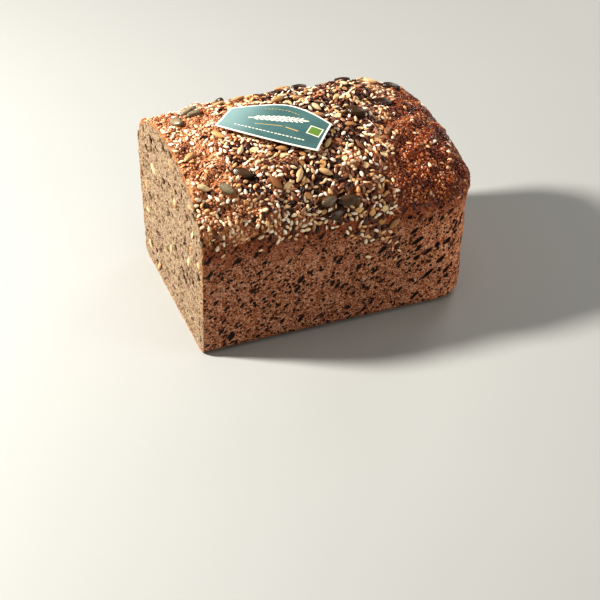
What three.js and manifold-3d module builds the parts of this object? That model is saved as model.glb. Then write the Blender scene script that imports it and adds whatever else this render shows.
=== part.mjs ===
// The cut end-piece of a tin loaf with a seeded crust, and the paper label that lies on its seeds.
// Millimetres, +Z up. The loaf runs along X from the cut face at -X to the baked end at +X and
// stands with the middle of its flat base at the origin.
import * as THREE from "three";
import { mergeVertices } from "three/addons/utils/BufferGeometryUtils.js";
import Module from "manifold-3d";

// Driving dimensions of the loaf.
const loafLength = 150;
const loafWidth = 110;
const wallHeight = 68; // where the tin's straight wall ends and the dome starts
const crownHeight = 104; // top of the dome, seeds left out
const crownFall = 3.4; // how much lower the crown is at the cut face
const endRoll = 130; // length over which the dome comes down to the baked end
const cornerRadius = 16; // upright corners at the baked end
const footRadius = 5;
const sideDraft = 4; // how far each long wall leans in at the foot
const endDraft = 1.5;
const acrossShape = { width: 2, height: 2 }; // powers of the dome's curve across the loaf
const endShape = { width: 3.3, height: 3.4 }; // powers of its curve along the end roll

// Unevenness of the crust: sums of waves through space.
const swell = { count: 5, shortest: 30, longest: 52, height: 0.4 };
const crags = { count: 9, shortest: 10, longest: 19, height: 0.5 };
const wallRelief = 0.45; // share of the unevenness that the tin left on the walls
const grid = { along: 24, across: 19, up: 7 };

// Seeds baked into the crust: half length, half width, half thickness, as in the real kernels.
const seedKinds = {
  pumpkin: { count: 26, half: [6.3, 3.7, 1.3], point: 0.4, sides: 6, rings: 4, apart: 12 },
  sunflower: { count: 52, half: [4.4, 2.0, 1.2], point: 0.5, sides: 4, rings: 4, apart: 8 },
  small: { count: 64, half: [2.2, 1.2, 0.8], point: 0.3, sides: 4, rings: 2, apart: 6 },
};
const seedStand = 0.2; // share of a seed's half thickness that its middle stands above the crust
const seedTilt = 0.3; // radians
const bareEnd = { start: 42, finish: 66 }; // seeds thin out between these stations on the end roll

// Holes in the crumb of the cut face, and slits that the tin's wall left in the crust.
const pores = {
  large: { count: 22, size: [1.5, 2.9], detail: 1, apart: 9 },
  small: { count: 40, size: [0.8, 1.4], detail: 0, apart: 5 },
};
const poreMargin = 6; // crumb left between the outermost hole and the crust
const slits = { count: 14, length: [2.2, 4.2], width: [0.5, 0.9], depth: 1.0, lean: 0.7 };

// The label: a small sheet of paper with an arched upper edge.
const label = {
  centre: [-21.4, -11.5],
  turn: -34.7, // degrees from the loaf's length, seen from above
  halfLength: 26.3,
  lean: 0.16, // how far its ends slant
  endHeight: 9.7, // half the height at the ends
  arch: 8, // rise of the upper edge's middle
  archPower: 1.2,
  archRound: 0.22, // share of the half length over which the arch's top is rounded
  belly: 2.9, // drop of the lower edge's middle
  lift: 3.1, // height over the bare crust, which leaves room for the seeds under it
  curl: 1.0, // how much more its lower edge stands off
  thickness: 0.4,
  columns: 22,
  rows: 8,
};

const crustMaterial = new THREE.MeshStandardMaterial({ color: 0x8a4a22, roughness: 0.6, metalness: 0 });
const labelMaterial = new THREE.MeshStandardMaterial({ color: 0x1f6f78, roughness: 0.5, metalness: 0 });

const wasm = await Module();
wasm.setup();

// One stream of numbers from 0 to 1, the same on every run.
let drawState = 7;
function draw() {
  drawState = (drawState * 1664525 + 1013904223) % 4294967296;
  return drawState / 4294967296;
}

function between(low, high) {
  return low + (high - low) * draw();
}

function clamp01(t) {
  return Math.min(1, Math.max(0, t));
}

// Waves with directions drawn over the whole sphere; their sum is about -1 to 1 times the height.
function makeWaves({ count, shortest, longest, height }) {
  const waves = [];
  for (let i = 0; i < count; i++) {
    const turn = between(0, 2 * Math.PI);
    const rise = between(-0.6, 0.6);
    const rate = (2 * Math.PI) / between(shortest, longest);
    const level = Math.sqrt(1 - rise * rise);
    waves.push({
      x: rate * level * Math.cos(turn),
      y: rate * level * Math.sin(turn),
      z: rate * rise,
      phase: between(0, 2 * Math.PI),
      height: (height * 1.4) / Math.sqrt(count),
    });
  }
  return waves;
}

const crustWaves = [...makeWaves(swell), ...makeWaves(crags)];

// Height of the crust's unevenness at a point, less where the tin held it and none at the base.
function relief(x, y, z) {
  let sum = 0;
  for (const w of crustWaves) sum += w.height * Math.sin(w.x * x + w.y * y + w.z * z + w.phase);
  const onDome = THREE.MathUtils.smoothstep(z, wallHeight - 8, wallHeight + 10);
  const offEnd = 1 - THREE.MathUtils.smoothstep(x, loafLength / 2 - cornerRadius, loafLength / 2);
  return sum * (wallRelief + (1 - wallRelief) * onDome * offEnd) * clamp01(z / 14);
}

// Rounds the two upright corners of the baked end; x and y are on the square-cornered plan.
function roundCorner(x, y) {
  const u = (x - (loafLength / 2 - cornerRadius)) / cornerRadius;
  const v = (Math.abs(y) - (loafWidth / 2 - cornerRadius)) / cornerRadius;
  if (u <= 0 || v <= 0) return [x, y];
  const shrink = Math.max(u, v) / Math.hypot(u, v);
  return [
    loafLength / 2 - cornerRadius + cornerRadius * u * shrink,
    Math.sign(y) * (loafWidth / 2 - cornerRadius + cornerRadius * v * shrink),
  ];
}

// Height of the smooth top at plan place a, b, each from -1 to 1.
function topHeight(a, b) {
  const across = (1 - Math.abs(b) ** acrossShape.width) ** (1 / acrossShape.height);
  const t = clamp01(((a - 1) * loafLength) / 2 / endRoll + 1);
  const along = (1 - t ** endShape.width) ** (1 / endShape.height);
  const crown = crownHeight - wallHeight - crownFall * Math.max(0, -a) ** 1.5;
  return wallHeight + crown * across * along;
}

// The smooth loaf at plan place a, b and share c of the height there.
function loafPoint(a, b, c) {
  const foot = clamp01(1 - (c * wallHeight) / footRadius);
  const inset = footRadius * (1 - Math.sqrt(1 - foot * foot));
  const lean = (1 - c) ** 1.3;
  const [x, y] = roundCorner((a * loafLength) / 2, (b * loafWidth) / 2);
  const shrinkX = a > 0 ? 1 - (endDraft * lean + inset) / (loafLength / 2) : 1;
  const shrinkY = 1 - (sideDraft * lean + inset) / (loafWidth / 2);
  return new THREE.Vector3(x * shrinkX, y * shrinkY, c * topHeight(a, b));
}

// Outward direction of the smooth top.
function topNormal(a, b) {
  const step = 0.01;
  const alongX = loafPoint(Math.min(1, a + step), b, 1).sub(loafPoint(Math.max(-1, a - step), b, 1));
  const alongY = loafPoint(a, Math.min(1, b + step), 1).sub(loafPoint(a, Math.max(-1, b - step), 1));
  return alongX.cross(alongY).normalize();
}

// A closed mesh whose vertices are shared, as a solid.
function solidFrom(geometry) {
  geometry.deleteAttribute("normal");
  geometry.deleteAttribute("uv");
  const merged = mergeVertices(geometry, 1e-4);
  const vertProperties = new Float32Array(merged.attributes.position.array);
  const triVerts = new Uint32Array(merged.index.array);
  return new wasm.Manifold(new wasm.Mesh({ numProp: 3, vertProperties, triVerts }));
}

function geometryFrom(solid) {
  const mesh = solid.getMesh();
  const geometry = new THREE.BufferGeometry();
  geometry.setAttribute("position", new THREE.BufferAttribute(mesh.vertProperties, 3));
  geometry.setIndex(new THREE.BufferAttribute(mesh.triVerts, 1));
  geometry.computeVertexNormals();
  return geometry;
}

// The loaf without seeds or holes: a box whose grid is bent over the shape, closer at its edges.
function breadGeometry() {
  const box = new THREE.BoxGeometry(2, 2, 2, grid.along, grid.across, grid.up);
  box.deleteAttribute("normal");
  box.deleteAttribute("uv");
  const geometry = mergeVertices(box, 1e-4);
  const position = geometry.attributes.position;
  const atCut = [];
  const atBase = [];
  for (let i = 0; i < position.count; i++) {
    const a = Math.sin((position.getX(i) * Math.PI) / 2);
    const b = Math.sin((position.getY(i) * Math.PI) / 2);
    const c = ((position.getZ(i) + 1) / 2) ** 1.25;
    atCut.push(a < -0.9999);
    atBase.push(c < 1e-4);
    const point = loafPoint(a, b, c);
    position.setXYZ(i, point.x, point.y, point.z);
  }
  geometry.computeVertexNormals();
  const normal = geometry.attributes.normal;
  for (let i = 0; i < position.count; i++) {
    if (atBase[i]) continue;
    const [x, y, z] = [position.getX(i), position.getY(i), position.getZ(i)];
    const rise = relief(x, y, z);
    const outX = atCut[i] ? 0 : normal.getX(i);
    position.setXYZ(i, x + rise * outX, y + rise * normal.getY(i), z + rise * normal.getZ(i));
  }
  return geometry;
}

// A flat kernel, one end drawn out to a point: its length lies along X and its thickness along Z.
function kernelGeometry({ half, point, sides, rings }) {
  const geometry = new THREE.SphereGeometry(1, sides, rings).rotateZ(-Math.PI / 2);
  const position = geometry.attributes.position;
  for (let i = 0; i < position.count; i++) {
    const along = position.getX(i);
    const slim = 1 - point * clamp01(along);
    position.setXYZ(i, along * half[0], position.getY(i) * half[1] * slim, position.getZ(i) * half[2]);
  }
  return geometry;
}

// Lays a kernel on the crust at a plan place, turned about the crust's own outward direction.
function seedSolid(kind, place) {
  const geometry = kernelGeometry(kind);
  geometry.scale(place.size, place.size, place.size);
  geometry.rotateX(place.roll).rotateY(place.pitch).rotateZ(place.turn);
  const flat = new THREE.Quaternion().setFromUnitVectors(new THREE.Vector3(0, 0, 1), place.out);
  geometry.applyQuaternion(flat);
  geometry.translate(place.spot.x, place.spot.y, place.spot.z);
  return solidFrom(geometry);
}

// Chance that a seed drawn at this place stays: the baked end's slope is nearly bare.
function seedChance(x, z) {
  const onEnd = THREE.MathUtils.smoothstep(x, bareEnd.start, bareEnd.finish);
  const onWall = THREE.MathUtils.smoothstep(wallHeight + 6 - z, -4, 12);
  return (1 - 0.94 * onEnd) * (1 - 0.75 * onWall);
}

// Where a line from outside, aimed at a point of the smooth loaf, meets the uneven crust.
function ontoCrust(crust, spot, out) {
  const start = spot.clone().addScaledVector(out, 10);
  const [hit] = new THREE.Raycaster(start, out.clone().negate()).intersectObject(crust);
  return hit ? hit.point : spot;
}

// Spreads each kind over the top in turn, largest first, by throwing places that keep apart.
function seedPlaces(crust) {
  const taken = [];
  for (const [name, kind] of Object.entries(seedKinds)) {
    let placed = 0;
    for (let tries = 0; tries < 6000 && placed < kind.count; tries++) {
      const a = Math.sin(between(-0.96, 0.97) * (Math.PI / 2));
      const b = Math.sin(between(-1, 1) * (Math.PI / 2));
      const keep = draw();
      const numbers = [draw(), draw(), draw(), draw()];
      const spot = loafPoint(a, b, 1);
      const out = topNormal(a, b);
      if (keep > seedChance(spot.x, spot.z)) continue;
      const near = (other) => other.spot.distanceTo(spot) < (other.apart + kind.apart) / 2;
      if (taken.some(near)) continue;
      const size = 0.86 + 0.26 * numbers[0];
      taken.push({
        name,
        spot: ontoCrust(crust, spot, out).addScaledVector(out, seedStand * kind.half[2]),
        out,
        size,
        apart: kind.apart,
        turn: numbers[1] * 2 * Math.PI,
        pitch: (numbers[2] - 0.5) * seedTilt,
        roll: (numbers[3] - 0.5) * 2 * seedTilt,
      });
      placed++;
    }
  }
  return taken;
}

// Holes in the cut face: flattened balls sunk to about half their depth, clear of the crust.
function poreSolids() {
  const made = [];
  const taken = [];
  for (const kind of Object.values(pores)) {
    let placed = 0;
    for (let tries = 0; tries < 4000 && placed < kind.count; tries++) {
      const b = between(-0.93, 0.93);
      const z = between(poreMargin, crownHeight);
      const numbers = [draw(), draw(), draw(), draw(), draw()];
      const y = (b * loafWidth) / 2;
      const size = kind.size[0] + (kind.size[1] - kind.size[0]) * numbers[0];
      if (z > topHeight(-1, b) - poreMargin || Math.abs(y) > loafWidth / 2 - sideDraft - poreMargin) continue;
      if (taken.some((p) => Math.hypot(p.y - y, p.z - z) < (p.apart + kind.apart) / 2)) continue;
      const geometry = new THREE.IcosahedronGeometry(1, kind.detail);
      geometry.scale(size * (0.7 + 0.5 * numbers[1]), size * (1 + 0.5 * numbers[2]), size * (0.6 + 0.3 * numbers[3]));
      geometry.rotateX(numbers[4] * Math.PI).translate(-loafLength / 2, y, z);
      made.push(solidFrom(geometry));
      taken.push({ y, z, apart: kind.apart });
      placed++;
    }
  }
  return made;
}

// Short leaning slits in both long walls, where bubbles burst against the tin.
function slitSolids(crust) {
  const made = [];
  for (let i = 0; i < slits.count; i++) {
    const side = i % 2 ? 1 : -1;
    const a = between(-0.85, 0.7);
    const c = between(0.2, 0.85);
    const geometry = new THREE.IcosahedronGeometry(1, 0);
    geometry.scale(between(...slits.length), slits.depth, between(...slits.width));
    geometry.rotateY(-slits.lean);
    const spot = ontoCrust(crust, loafPoint(a, side, c), new THREE.Vector3(0, side, 0));
    made.push(solidFrom(geometry.translate(spot.x, spot.y, spot.z)));
  }
  return made;
}

// What the knife took away, seeds included.
function cutAway() {
  const deep = 20;
  const geometry = new THREE.BoxGeometry(deep, 2 * loafWidth, 3 * crownHeight);
  return solidFrom(geometry.translate(-loafLength / 2 - deep / 2, 0, crownHeight));
}

function loafMesh() {
  const bread = breadGeometry();
  const crust = new THREE.Mesh(bread.clone(), crustMaterial);
  let solid = solidFrom(bread);
  for (const hole of [...poreSolids(), ...slitSolids(crust)]) solid = solid.subtract(hole);
  for (const place of seedPlaces(crust)) solid = solid.add(seedSolid(seedKinds[place.name], place));
  solid = solid.subtract(cutAway());
  const mesh = new THREE.Mesh(geometryFrom(solid), crustMaterial);
  mesh.name = "loaf";
  return mesh;
}

// Share of the arch's rise that is left at share s of the half length.
function archShare(s) {
  const round = label.archRound ** 2;
  const power = label.archPower / 2;
  return 1 - ((s * s + round) ** power - round ** power) / ((1 + round) ** power - round ** power);
}

// Place of a point of the label, from its own length and height shares, each from -1 to 1.
function labelPoint(s, t, above) {
  const upper = label.endHeight + label.arch * archShare(s);
  const lower = label.endHeight + label.belly * (1 - s * s);
  const up = THREE.MathUtils.lerp(-lower, upper, (t + 1) / 2);
  const along = s * label.halfLength + label.lean * up;
  const turn = THREE.MathUtils.degToRad(label.turn);
  const x = label.centre[0] + along * Math.cos(turn) - up * Math.sin(turn);
  const y = label.centre[1] + along * Math.sin(turn) + up * Math.cos(turn);
  const a = (2 * x) / loafLength;
  const b = (2 * y) / loafWidth;
  const lift = label.lift + label.curl * clamp01(-up / lower) ** 2 + above;
  return loafPoint(a, b, 1).addScaledVector(topNormal(a, b), lift);
}

// A thin sheet bent over the crown, a little above the crust.
function labelMesh() {
  const geometry = new THREE.BoxGeometry(2, 2, 2, label.columns, label.rows, 1);
  const position = geometry.attributes.position;
  for (let i = 0; i < position.count; i++) {
    const above = ((position.getZ(i) + 1) / 2) * label.thickness;
    const point = labelPoint(position.getX(i), position.getY(i), above);
    position.setXYZ(i, point.x, point.y, point.z);
  }
  const mesh = new THREE.Mesh(geometryFrom(solidFrom(geometry)), labelMaterial);
  mesh.name = "label";
  return mesh;
}

const seededLoaf = new THREE.Group();
seededLoaf.add(loafMesh(), labelMesh());

export default seededLoaf;
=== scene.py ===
# The cut rest of a six-grain tin loaf, with its seeded crust, open crumb and paper label.
import math
import bmesh
import bpy
import numpy as np
from mathutils import Matrix, Vector, noise
from mathutils.bvhtree import BVHTree


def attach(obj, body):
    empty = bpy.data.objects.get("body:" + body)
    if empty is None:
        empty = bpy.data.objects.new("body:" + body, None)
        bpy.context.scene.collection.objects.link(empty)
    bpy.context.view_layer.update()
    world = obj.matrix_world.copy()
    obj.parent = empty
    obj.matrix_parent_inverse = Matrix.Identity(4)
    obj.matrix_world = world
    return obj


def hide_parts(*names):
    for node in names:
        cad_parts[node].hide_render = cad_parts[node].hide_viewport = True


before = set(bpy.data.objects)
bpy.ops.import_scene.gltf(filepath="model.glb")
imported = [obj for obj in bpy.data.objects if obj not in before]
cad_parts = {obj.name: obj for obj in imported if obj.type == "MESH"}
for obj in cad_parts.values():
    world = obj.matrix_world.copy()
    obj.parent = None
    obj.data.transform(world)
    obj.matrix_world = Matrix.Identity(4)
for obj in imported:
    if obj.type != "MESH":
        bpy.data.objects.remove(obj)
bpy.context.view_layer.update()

mm = 0.001  # every size below is in millimetres and is turned into metres as it goes into a mesh

# The bare loaf. +X runs from the cut face to the baked end, and the base stands at z = 0.
loafShape = {
    "length": 150.0,
    "width": 110.0,
    "wallHeight": 68.0,       # top of the straight wall that the tin gave
    "crownHeight": 104.0,
    "crownFall": 3.4,         # how much lower the crown is at the cut
    "endRoll": 130.0,         # length over which the dome comes down to the baked end
    "cornerRadius": 16.0,
    "footRadius": 5.0,
    "sideDraft": 4.0,
    "endDraft": 1.5,
    "acrossPowers": (2.0, 2.0),
    "endPowers": (3.3, 3.4),
    "crumbPiece": 8.0,        # depth of the piece that carries the cut face
}
breadCells = {"crumb": 10, "along": 196, "across": 180, "up": 84}
gridCells = (breadCells["crumb"] + breadCells["along"], breadCells["across"], breadCells["up"])
endX, sideY, wallTop = loafShape["length"] / 2, loafShape["width"] / 2, loafShape["wallHeight"]
fineSteps = 4000  # points along a curve whose length is measured


def clamp01(t):
    return np.clip(t, 0.0, 1.0)


def smooth(t, low, high):  # 0 below low, 1 above high, eased between
    s = clamp01((t - low) / (high - low))
    return s * s * (3 - 2 * s)


# Rounds the two upright corners of the baked end.
def roundCorner(x, y):
    r = loafShape["cornerRadius"]
    cx, cy = endX - r, sideY - r
    u, v = (x - cx) / r, (np.abs(y) - cy) / r
    inside = (u > 0) & (v > 0)
    shrink = np.maximum(u, v) / np.maximum(np.hypot(u, v), 1e-9)
    return np.where(inside, cx + r * u * shrink, x), np.where(inside, np.sign(y) * (cy + r * v * shrink), y)


# Height of the smooth top over plan place a, b, each from -1 to 1.
def topHeight(a, b):
    s = loafShape
    (acrossWide, acrossTall), (endWide, endTall) = s["acrossPowers"], s["endPowers"]
    across = clamp01(1 - np.abs(b) ** acrossWide) ** (1 / acrossTall)
    t = clamp01((a - 1) * endX / s["endRoll"] + 1)
    along = clamp01(1 - t ** endWide) ** (1 / endTall)
    crown = s["crownHeight"] - wallTop - s["crownFall"] * clamp01(-a) ** 1.5
    return wallTop + crown * across * along


# The smooth loaf at plan place a, b and share c of the height there.
def loafPoint(a, b, c):
    s = loafShape
    foot = clamp01(1 - c * wallTop / s["footRadius"])
    inset = s["footRadius"] * (1 - np.sqrt(1 - foot ** 2))
    lean = (1 - c) ** 1.3
    x, y = roundCorner(a * endX, b * sideY)
    x = np.where(a > 0, x * (1 - (s["endDraft"] * lean + inset) / endX), x)
    y = y * (1 - (s["sideDraft"] * lean + inset) / sideY)
    return np.stack([x, y, c * topHeight(a, b)], -1)


def topNormal(a, b):
    step = 0.01
    alongX = loafPoint(min(1, a + step), b, 1.0) - loafPoint(max(-1, a - step), b, 1.0)
    alongY = loafPoint(a, min(1, b + step), 1.0) - loafPoint(a, max(-1, b - step), 1.0)
    out = np.cross(alongX, alongY)
    return out / np.linalg.norm(out)


# The same broad unevenness as the frame's loaf has: waves through space, drawn from one stream.
swell = {"count": 5, "shortest": 30, "longest": 52, "height": 0.4}
crags = {"count": 9, "shortest": 10, "longest": 19, "height": 0.5}
wallRelief = 0.45  # share of it that the walls and the baked end show


def numberStream(state):
    while True:
        state = (state * 1664525 + 1013904223) % 4294967296
        yield state / 4294967296


def makeWaves(stream, count, shortest, longest, height):
    waves = []
    for _ in range(count):
        turn, rise = 2 * math.pi * next(stream), -0.6 + 1.2 * next(stream)
        rate = 2 * math.pi / (shortest + (longest - shortest) * next(stream))
        level = math.sqrt(1 - rise * rise)
        way = rate * np.array([level * math.cos(turn), level * math.sin(turn), rise])
        waves.append((way, 2 * math.pi * next(stream), height * 1.4 / math.sqrt(count)))
    return waves


waveStream = numberStream(7)
crustWaves = makeWaves(waveStream, **swell) + makeWaves(waveStream, **crags)


def broadRelief(p):
    total = sum(height * np.sin(p @ way + phase) for way, phase, height in crustWaves)
    onDome = smooth(p[:, 2], wallTop - 8, wallTop + 10)
    offEnd = 1 - smooth(p[:, 0], endX - loafShape["cornerRadius"], endX)
    return total * (wallRelief + (1 - wallRelief) * onDome * offEnd) * clamp01(p[:, 2] / 14)


def noiseAt(points, size, octaves=3, shift=0.0):  # about -1 to 1
    offset = Vector((shift, shift * 0.7, -shift))
    return np.array([noise.fractal(Vector(p) / size + offset, 0.9, 2.1, octaves) for p in points.tolist()])


def lumpsAt(points, size, shift=0.0):  # rounded grains: 1 in the middle of one, 0 between them
    offset = Vector((shift, -shift, shift * 0.4))
    away = [noise.voronoi(Vector(p) / size + offset)[0][0] for p in points.tolist()]
    return np.array([1 - min(1, a * 1.25) for a in away])


# How deep the holes of one size are at each point: round, of mixed width, missing here and there.
def poresAt(points, apart, share, radius, depth):
    found = np.zeros(len(points))
    for i, p in enumerate(points.tolist()):
        ways, centres = noise.voronoi(Vector(p) / apart + Vector((apart, 0, apart)))
        pick = noise.cell(centres[0] * 37.3)
        wide = radius * (0.55 + 0.45 * noise.cell(centres[0] * 91.7))
        if pick < share and ways[0] < wide:
            found[i] = depth * (wide / radius) * math.sqrt(1 - (ways[0] / wide) ** 2)
    return found


# Shares along a curve at which equal steps of its length are taken.
def evenShares(curve, shares, cells):
    steps = np.linalg.norm(np.diff(curve, axis=0), axis=1)
    run = np.concatenate([[0], np.cumsum(steps)])
    return np.interp(np.linspace(0, run[-1], cells + 1), run, shares)


def alongShares():
    split = -1 + loafShape["crumbPiece"] / endX
    fine = np.sin(np.linspace(math.asin(split), math.pi / 2, fineSteps))
    curve = loafPoint(fine, np.zeros_like(fine), 1.0)
    nearCut = np.linspace(-1, split, breadCells["crumb"] + 1)
    return np.concatenate([nearCut[:-1], evenShares(curve, fine, breadCells["along"])])


def acrossShares():
    fine = np.sin(np.linspace(-math.pi / 2, math.pi / 2, fineSteps))
    return evenShares(loafPoint(np.full_like(fine, -0.3), fine, 1.0), fine, breadCells["across"])


def readAll(items, field, width=1, kind=np.float32):  # one field of all a mesh's points, faces or corners
    flat = np.empty(len(items) * width, kind)
    items.foreach_get(field, flat)
    return flat.reshape(-1, width) if width > 1 else flat


def readPoints(mesh):
    return readAll(mesh.vertices, "co", 3).astype(float)


def writePoints(mesh, points):
    mesh.vertices.foreach_set("co", points.astype(np.float32).ravel())
    mesh.update()


def readValues(mesh, name):
    return readAll(mesh.attributes[name].data, "value").astype(float)


def storeValues(mesh, **layers):
    for name, values in layers.items():
        layer = mesh.attributes.get(name) or mesh.attributes.new(name, "FLOAT", "POINT")
        layer.data.foreach_set("value", values.astype(np.float32))


def meshFrom(bm, name):
    mesh = bpy.data.meshes.new(name)
    bm.to_mesh(mesh)
    bm.free()
    return mesh


def addObject(name, data):
    thing = bpy.data.objects.new(name, data)
    bpy.context.scene.collection.objects.link(thing)
    return thing


def addPiece(mesh, material, node):
    piece = addObject(mesh.name, mesh)
    mesh.materials.clear()
    mesh.materials.append(material)
    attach(piece, "root")
    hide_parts(node)
    return piece


# Materials

def hexColour(text):
    parts = [int(text[i:i + 2], 16) / 255 for i in (1, 3, 5)]
    return tuple(v / 12.92 if v <= 0.04045 else ((v + 0.055) / 1.055) ** 2.4 for v in parts) + (1.0,)


def palette(**texts):
    return {name: hexColour(text) for name, text in texts.items()}


# Fills sockets with values or with other nodes' outputs.
def fillSockets(node, sockets):
    for name, value in sockets.items():
        if isinstance(value, bpy.types.NodeSocket):
            node.id_data.links.new(value, node.inputs[name])
        else:
            node.inputs[name].default_value = value


def addNode(tree, kind, sockets, **settings):
    node = tree.nodes.new("ShaderNode" + kind)
    for name, value in settings.items():
        setattr(node, name, value)
    fillSockets(node, sockets)
    return node


def mix(tree, share, first, second, blend="MIX"):
    sockets = {0: share, 6: first, 7: second}
    return addNode(tree, "Mix", sockets, data_type="RGBA", blend_type=blend).outputs[2]


def mixValues(tree, share, first, second):
    return addNode(tree, "Mix", {0: share, 2: first, 3: second}, data_type="FLOAT").outputs[0]


def calc(tree, operation, first, second):
    return addNode(tree, "Math", {0: first, 1: second}, operation=operation).outputs[0]


def plus(tree, first, second):
    return calc(tree, "ADD", first, second)


def times(tree, first, second):
    return calc(tree, "MULTIPLY", first, second)


def vectorCalc(tree, operation, sockets):
    return addNode(tree, "VectorMath", sockets, operation=operation).outputs[0]


def spread(tree, value, low, high, toLow=0.0, toHigh=1.0):  # eased and clamped map of one range to another
    sockets = {"Value": value, "From Min": low, "From Max": high, "To Min": toLow, "To Max": toHigh}
    return addNode(tree, "MapRange", sockets, interpolation_type="SMOOTHSTEP").outputs[0]


def noiseOn(tree, where, size, detail=4.0, rough=0.6):  # size in millimetres
    sockets = {"Vector": where, "Scale": 1 / (size * mm), "Detail": detail, "Roughness": rough}
    return addNode(tree, "TexNoise", sockets).outputs["Fac"]


def attribute(tree, name, output="Fac"):
    return addNode(tree, "Attribute", {}, attribute_name=name, attribute_type="GEOMETRY").outputs[output]


def rampOn(tree, value, stops, interpolation="LINEAR"):  # stops as place and colour, from low to high
    ramp = addNode(tree, "ValToRGB", {"Fac": value})
    ramp.color_ramp.interpolation = interpolation
    ends = ramp.color_ramp.elements
    for end, (place, colour) in zip(ends[:], (stops[0], stops[-1])):
        end.position, end.color = place, colour
    for place, colour in stops[1:-1]:
        ends.new(place).color = colour
    return ramp.outputs["Color"]


def bumpOf(tree, height, depth):  # depth in millimetres
    return addNode(tree, "Bump", {"Height": height, "Distance": depth * mm, "Strength": 1.0}).outputs[0]


def startMaterial(name):
    material = bpy.data.materials.new(name)
    material.use_nodes = True
    tree = material.node_tree
    return material, tree, tree.nodes["Principled BSDF"], addNode(tree, "TexCoord", {}).outputs["Object"]


def warped(tree, where, size, amount):  # the place moved about by a noise, both in millimetres
    drift = addNode(tree, "TexNoise", {"Vector": where, "Scale": 1 / (size * mm), "Detail": 2.0})
    away = vectorCalc(tree, "SUBTRACT", {0: drift.outputs["Color"], 1: (0.5, 0.5, 0.5)})
    away = vectorCalc(tree, "SCALE", {0: away, "Scale": 2 * amount * mm})
    return vectorCalc(tree, "ADD", {0: where, 1: away})


breadColours = palette(
    # painted shade for the crust's pits and between thick seeds, also its random dark patches
    pit="#240903",
    crust="#9c4110",          # the bare crust of the baked end
    crustLight="#cf8552",     # the crust between the seeds
    # painted highlights on the ridges of the crust between the seeds and of the bare baked end
    ridge="#e8ab78",
    endRidge="#d87a2c",
    wall="#a8643b",
    wallDark="#5c2c13",
    wallPale="#e6b496",
    shoulder="#8a3c10",
    # painted shade inside the wall's pits, slits and tears
    slit="#1e0a05",
    crumb="#856645",
    crumbPale="#b39e84",
    # painted shade inside the crumb's holes
    crumbDeep="#3f1f0e",
    bran="#5f3820",
    rim="#a8672f",
)
wallMarks = {
    # the darkness of a pit is how deep its painted shade is
    "pits": [(2.4, 0.45, 0.34, 1.0), (1.5, 0.42, 0.36, 0.9)],    # spacing, share of places, radius, darkness
    "slits": [(50, 2.6, 2.5, 0.3), (38, 2.0, 1.7, 0.32)],        # turn in degrees, stretch, spacing, share
    "slitRadius": 0.38,
    "rim": (-0.07, 0.11),     # how softly a mark begins, in steps of its spacing
    "deep": 1.8,
    "flecks": (1.7, 0.2, 0.42),   # bran in the crumb: spacing, share of places, radius
}
# Painted light: towards the baked end, where the wall turns towards the light, its colour is made brighter;
# from and to in metres along the loaf.
wallBrighter = {"from": 0.025, "to": 0.07, "times": (1.42, 1.42, 1.4, 1)}


def holesOn(tree, where, size, share, radius):  # 1 inside round holes that fill some of the cells
    cells = addNode(tree, "TexVoronoi", {"Vector": where, "Scale": 1 / (size * mm)})
    pick = addNode(tree, "SeparateColor", {0: cells.outputs["Color"]})
    wide = spread(tree, pick.outputs[1], 0.0, 1.0, radius * 0.4, radius * 1.2)
    inside = spread(tree, calc(tree, "SUBTRACT", wide, cells.outputs["Distance"]), *wallMarks["rim"])
    return times(tree, inside, calc(tree, "LESS_THAN", pick.outputs[0], share))


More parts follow.
